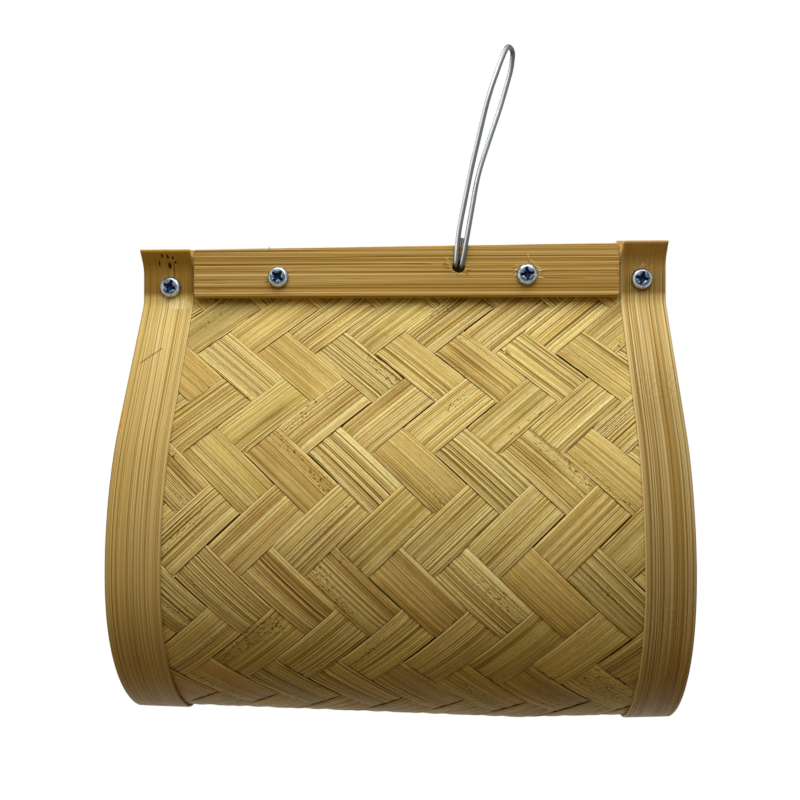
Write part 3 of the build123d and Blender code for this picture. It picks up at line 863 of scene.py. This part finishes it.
def make_camera():
    """The photograph's camera: level, and a little right of the house."""
    data = bpy.data.cameras.new("photograph")
    data.sensor_width = SENSOR_MM
    data.lens = SENSOR_MM * FOCAL_PIXELS / IMAGE_PIXELS
    data.clip_start = 0.01
    camera = new_piece("photograph", data)
    aim = Vector((house_x + AIM_RIGHT_OF_MIDDLE, house_y - clamp_half - BAND_THICKNESS,
                  crease_z - AIM_BELOW_CREASE))
    camera.location = aim + Vector((CAMERA_DISTANCE * tan(CAMERA_YAW), -CAMERA_DISTANCE, 0))
    camera.rotation_euler = (pi / 2, 0, CAMERA_YAW)
    bpy.context.scene.camera = camera


def make_lamps():
    """Square area lamps round the house, aimed at its middle."""
    aim = Vector((house_x, house_y, crease_z - LAMP_AIM_BELOW_CREASE))
    for name, apart, size, power, hex_colour in LAMPS:
        data = bpy.data.lights.new(name, "AREA")
        data.color = linear(hex_colour)[:3]
        data.size = size
        data.energy = power
        lamp = new_piece(name, data)
        lamp.location = aim + Vector(apart)
        lamp.rotation_euler = (aim - lamp.location).to_track_quat("-Z", "Y").to_euler()


def make_world():
    """A soft warm light all round, seen as plain white by the camera and in metal."""
    world = bpy.data.worlds.new("white surroundings")
    world.use_nodes = True
    tree = world.node_tree
    tree.nodes.clear()
    path = add(tree, "ShaderNodeLightPath").outputs
    seen = add(tree, PLUS, add(tree, PLUS, path["Is Camera Ray"], path["Is Glossy Ray"]),
               path["Is Transmission Ray"], use_clamp=True)
    level = add(tree, MAP_RANGE, seen, 0.0, 1.0, SURROUNDINGS_STRENGTH, 1.0)
    warm = add(tree, "ShaderNodeMix", seen, data_type="RGBA",
               named={6: linear("#FFCC60"), 7: (1, 1, 1, 1)}).outputs[2]
    light = add(tree, "ShaderNodeBackground", warm, level)
    add(tree, "ShaderNodeOutputWorld", light)
    bpy.context.scene.world = world


# Pieces

def route_length(piece):
    """The length of a piece's line of edges."""
    points = [vertex.co for vertex in piece.data.vertices]
    return sum((end - start).length for start, end in zip(points, points[1:]))


def make_strips(name, lean, centre, seed, material):
    """The strips that rise to the right (lean 1) or fall (lean -1), woven into the mat."""
    piece = route_piece(name, mat_half(), mat_half())
    half_across = STEP_ACROSS / 2
    half_down = -lean * STEP_DOWN / 2
    corner_down = WEAVE_CORNER_DOWN + mat_top
    sums = [(side * mat_half_width - WEAVE_CORNER_X) / half_across for side in (-1, 1)]
    differences = sorted((end - corner_down) / half_down for end in (0, route_length(piece)))
    owns = ((sums[0] - differences[1]) / 2, (sums[1] - differences[0]) / 2)
    first = floor(owns[0])
    grow(piece, strip_tree(), first_strip=first, strips=ceil(owns[1]) - first,
         own_low=owns[0], own_high=owns[1], float_centre=centre, sum_low=sums[0],
         sum_high=sums[1], difference_low=differences[0], difference_high=differences[1],
         half_across=half_across, half_down=half_down, corner_down=corner_down, seed=seed,
         material=material)
    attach(piece, "house")
    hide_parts("woven_mat")


def make_band(node, front_half, back_half, thickness, tone, material):
    """A band along its outline, in place of its CAD node."""
    low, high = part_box(node)
    piece = route_piece("bent_" + node, front_half, back_half)
    grow(piece, band_tree(), width=high[0] - low[0] - BAND_EDGE_WAVE, thickness=thickness,
         middle_x=(low[0] + high[0]) / 2 - house_x, tone=tone, material=material)
    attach(piece, "house")
    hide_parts(node)


def make_bands(side, tone, material):
    """The outer and the inner band of one open edge."""
    outer = side + "_outer_band"
    land = box_middle(side + "_band_screw")[2] - crease_z + HEAD_RADIUS + GLUE_GAP
    back_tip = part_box(outer)[1][2] - crease_z - BACK_TIP_WORN[side]
    make_band(outer, outer_band_half(FRONT_TIP[side], land), outer_band_half(back_tip, land),
              BAND_THICKNESS, tone, material)
    inner = inner_band_half()
    make_band(side + "_inner_band", inner, inner, INNER_BAND_THICKNESS, tone + 0.5, material)


def lathe(name, profile, steps):
    """A body turned about the Y axis from (radius, depth) points that start and end on it."""
    shape = bmesh.new()
    points = [shape.verts.new((radius, depth, 0)) for radius, depth in profile]
    edges = [shape.edges.new(pair) for pair in zip(points, points[1:])]
    bmesh.ops.spin(shape, geom=points + edges, cent=(0, 0, 0), axis=(0, 1, 0),
                   angle=2 * pi, steps=steps, use_merge=True)
    bmesh.ops.remove_doubles(shape, verts=shape.verts, dist=MERGE_DISTANCE)
    bmesh.ops.recalc_face_normals(shape, faces=shape.faces)
    return piece_from(name, shape)


def screw_profile(length):
    """A pan head in front of its seat, a shank of that length, and a threaded end."""
    profile = [(0, -HEAD_HEIGHT), (1.4 * MM, -HEAD_HEIGHT), (2.5 * MM, -2.5 * MM),
               (3.2 * MM, -2.15 * MM), (3.75 * MM, -1.6 * MM), (HEAD_RADIUS, -1.1 * MM),
               (HEAD_RADIUS, -0.2 * MM), (3.85 * MM, 0), (THREAD_RADIUS, 0)]
    root = THREAD_RADIUS - THREAD_DEPTH
    turns = int((NUT_HEIGHT + THREAD_END) / THREAD_PITCH)
    start = length - turns * THREAD_PITCH
    for turn in range(turns):
        depth = start + turn * THREAD_PITCH
        profile += [(THREAD_RADIUS, depth), (root, depth + THREAD_PITCH / 2)]
    return profile + [(root, length), (0, length)]


def cut(piece, operation, *cutters):
    """Takes the cutters out of a piece, or keeps what lies inside them."""
    for cutter in cutters:
        modifier = piece.modifiers.new(cutter.name, "BOOLEAN")
        modifier.object = cutter
        modifier.operation = operation
        modifier.solver = "EXACT"
    keep_shape(piece)
    for cutter in cutters:
        bpy.data.objects.remove(cutter)


def recess_middle():
    """The square middle of the cross recess, a pyramid with its corners between the wings."""
    shape = bmesh.new()
    bmesh.ops.create_cone(shape, cap_ends=True, segments=4, radius1=0.35 * MM,
                          radius2=RECESS_MIDDLE * 1.2, depth=RECESS_DEPTH * 1.2)
    shape.transform(Matrix.Translation((0, -HEAD_HEIGHT + RECESS_DEPTH * 0.4, 0))
                    @ Matrix.Rotation(pi / 2, 4, "X") @ Matrix.Rotation(pi / 4, 4, "Z"))
    return piece_from("recess", shape)


def recess_wing(turn):
    """One wing of the cross recess, narrower and shorter at its bottom."""
    shape = bmesh.new()
    bmesh.ops.create_cube(shape, size=1)
    for vertex in shape.verts:
        deep = vertex.co.y > 0
        long_share, wide_share = WING_BOTTOM if deep else WING_ABOVE
        vertex.co.x *= 2 * RECESS_HALF_LENGTH * long_share
        vertex.co.z *= 2 * RECESS_HALF_WIDTH * wide_share
        vertex.co.y = -HEAD_HEIGHT + (RECESS_DEPTH if deep else -0.4 * MM)
    shape.transform(Matrix.Rotation(turn, 4, "Y"))
    return piece_from("recess", shape)


def make_fasteners(name, nodes, blank, places, turns, material):
    """Copies of a blank in place of CAD nodes, turned about their own axes."""
    angles = [part for turn in turns for part in (0, radians(turn), 0)]
    piece = grow(point_piece(name, places, turn=angles), fastener_tree(), blank=blank,
                 material=material)
    bpy.data.objects.remove(blank)
    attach(piece, "house")
    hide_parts(*nodes)


def make_screws(kind, material):
    """The left and right screw of the slats or of the bands."""
    nodes = [side + "_" + kind + "_screw" for side in ("left", "right")]
    places = [box_middle(node, HEAD_HEIGHT) for node in nodes]
    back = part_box(nodes[0])[1][1]
    blank = lathe("screw", screw_profile(back - places[0][1]), SCREW_TURNING_STEPS)
    cut(blank, "DIFFERENCE", recess_wing(0), recess_wing(pi / 2), recess_middle())
    turns = [RECESS_TURNS[side + "_" + kind] for side in ("left", "right")]
    make_fasteners(kind + "_screws", nodes, blank, places, turns, material)


def nut_blank():
    """A hexagon nut seen from its back, its outer corners turned off."""
    corner = NUT_ACROSS_FLATS / 2 / cos(pi / 6)
    shape = bmesh.new()
    bmesh.ops.create_cone(shape, cap_ends=True, segments=6, radius1=corner, radius2=corner,
                          depth=NUT_HEIGHT)
    shape.transform(Matrix.Rotation(-pi / 2, 4, "X") @ Matrix.Translation((0, 0, NUT_HEIGHT / 2)))
    prism = piece_from("nut", shape)
    flat = NUT_ACROSS_FLATS / 2
    turned = lathe("turned", ((0, 0), (flat, 0), (corner, NUT_CORNER_SETBACK),
                              (corner, NUT_HEIGHT - NUT_CORNER_SETBACK), (flat, NUT_HEIGHT),
                              (0, NUT_HEIGHT)), NUT_TURNING_STEPS)
    cut(prism, "INTERSECT", turned)
    return prism


def make_nuts(material):
    """The four nuts behind the clamp."""
    nodes = [side + "_" + kind + "_nut" for kind in ("slat", "band") for side in ("left", "right")]
    places = [box_middle(node) for node in nodes]
    make_fasteners("nuts", nodes, nut_blank(), places, NUT_TURNS, material)


def splinter_middle(node, start_z):
    """The point on the face that a node's torn fibres are placed from."""
    if not node:
        return Vector((hanger_hinge.x, slat_low[1], hanger_hinge.z))
    if node == "woven_mat":
        face = crease(0) + lower_half(0, 0)
        depth = min(face, key=lambda point: abs(point[1] - start_z * MM))[0]
        return Vector((house_x, house_y - depth - SPLINTER_LIFT, crease_z))
    return box_middle(node, HEAD_HEIGHT)


def make_splinters(material):
    """Torn fibres at the screws, the hanger's hole and a strip's corner, their ends lifted."""
    roots, aims = [], []
    for node, fibres in SPLINTERS.items():
        for start_x, start_z, end_x, end_z in fibres:
            middle = splinter_middle(node, start_z)
            roots.append(middle + Vector((start_x * MM, SPLINTER_THICKNESS / 3, start_z * MM)))
            aims += ((end_x - start_x) * MM, -SPLINTER_LIFT, (end_z - start_z) * MM)
    piece = grow(point_piece("splinters", roots, aim=aims), sliver_tree(), material=material)
    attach(piece, "house")


def hanger_point(height, sideways, depth):
    """A point by height along the hanger's lean from its hole, sideways, and out in front."""
    x = height * sin(HANGER_LEAN) + sideways * cos(HANGER_LEAN)
    z = height * cos(HANGER_LEAN) - sideways * sin(HANGER_LEAN)
    return hanger_hinge + Vector((x, -depth, z))


def leg_points(side, leg_depth):
    """One front leg from the hole up to its side of the loop's top."""
    points = [hanger_point(0, side * LEG_SPACING / 2, leg_depth)]
    for height_share, width_share, depth_share, bow_share in LEG_SHARES:
        sideways = side * width_share * LOOP_WIDTH / 2 - bow_share * LEG_BOW
        depth = leg_depth - side * depth_share * LOOP_DEPTH / 2
        points.append(hanger_point(height_share * HANGER_HEIGHT, sideways, depth))
    return points


def bend_radii(points):
    """Each point's bend: small at the tight bends, and as large as its runs allow elsewhere."""
    radii = [0.0]
    for before, corner, after in zip(points, points[1:], points[2:]):
        turn = (corner - before).angle(after - corner)
        run = min((corner - before).length, (after - corner).length)
        radius = CORNER_RUN_SHARE * run / tan(turn / 2)
        radii.append(BEND_RADIUS if turn > TIGHT_TURN else radius)
    return radii + [0.0]


def make_wire(material):
    """The hanger: over the clamp's top, down behind, through the hole, round the loop and back."""
    leg_depth = slat_face + HANGER_CLEARANCE + WIRE_RADIUS
    half_spacing = LEG_SPACING / 2
    slope = (slat_high[2] - slat_low[2] - SLAT_LEFT_HEIGHT) / (slat_high[0] - slat_low[0])
    slat_top = SLAT_LEFT_HEIGHT + slope * (hanger_hinge.x - slat_low[0])
    top_gap = slat_top + slat_low[2] - hanger_hinge.z + WIRE_RADIUS + HANGER_CLEARANCE
    over = (top_gap + half_spacing * sin(HANGER_LEAN)) / cos(HANGER_LEAN)
    left_tail = [hanger_point(over, -half_spacing, leg_depth - WIRE_RADIUS - HANGER_CLEARANCE),
                 hanger_point(over, -half_spacing, -leg_depth),
                 hanger_point(0, -half_spacing, -leg_depth)]
    right_tail = [hanger_point(0, half_spacing, -leg_depth),
                  hanger_point(SHORT_END, half_spacing, -leg_depth)]
    points = left_tail + leg_points(-1, leg_depth) + leg_points(1, leg_depth)[::-1] + right_tail
    route = point_piece("bent_wire_hanger", points, chained=True, bend=bend_radii(points))
    piece = grow(route, wire_tree(), material=material)
    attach(piece, "hanger")
    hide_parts("wire_hanger")


def dress(nodes, material):
    """Gives CAD nodes a material."""
    for node in nodes:
        mesh = frame["nodes"][node].data
        mesh.materials.clear()
        mesh.materials.append(material)


bpy.context.scene.view_settings.view_transform = "Standard"
make_camera()
make_world()
make_lamps()

strip_material = make_material("woven bamboo", woven_bamboo)
make_strips("rising_strips", 1, 2.0, 11, strip_material)
make_strips("falling_strips", -1, 1.0, 37, strip_material)
make_bands("left", 0.2, make_material("pale band bamboo", left_band_bamboo))
make_bands("right", 1.3, make_material("striped band bamboo", right_band_bamboo))
dress(("front_slat", "back_slat"), make_material("planed slat bamboo", slat_bamboo))
zinc = make_material("zinc plated steel", zinc_steel)
make_screws("slat", zinc)
make_screws("band", zinc)
make_nuts(zinc)
make_splinters(make_material("torn bamboo", torn_bamboo))
make_wire(make_material("drawn steel wire", drawn_steel))
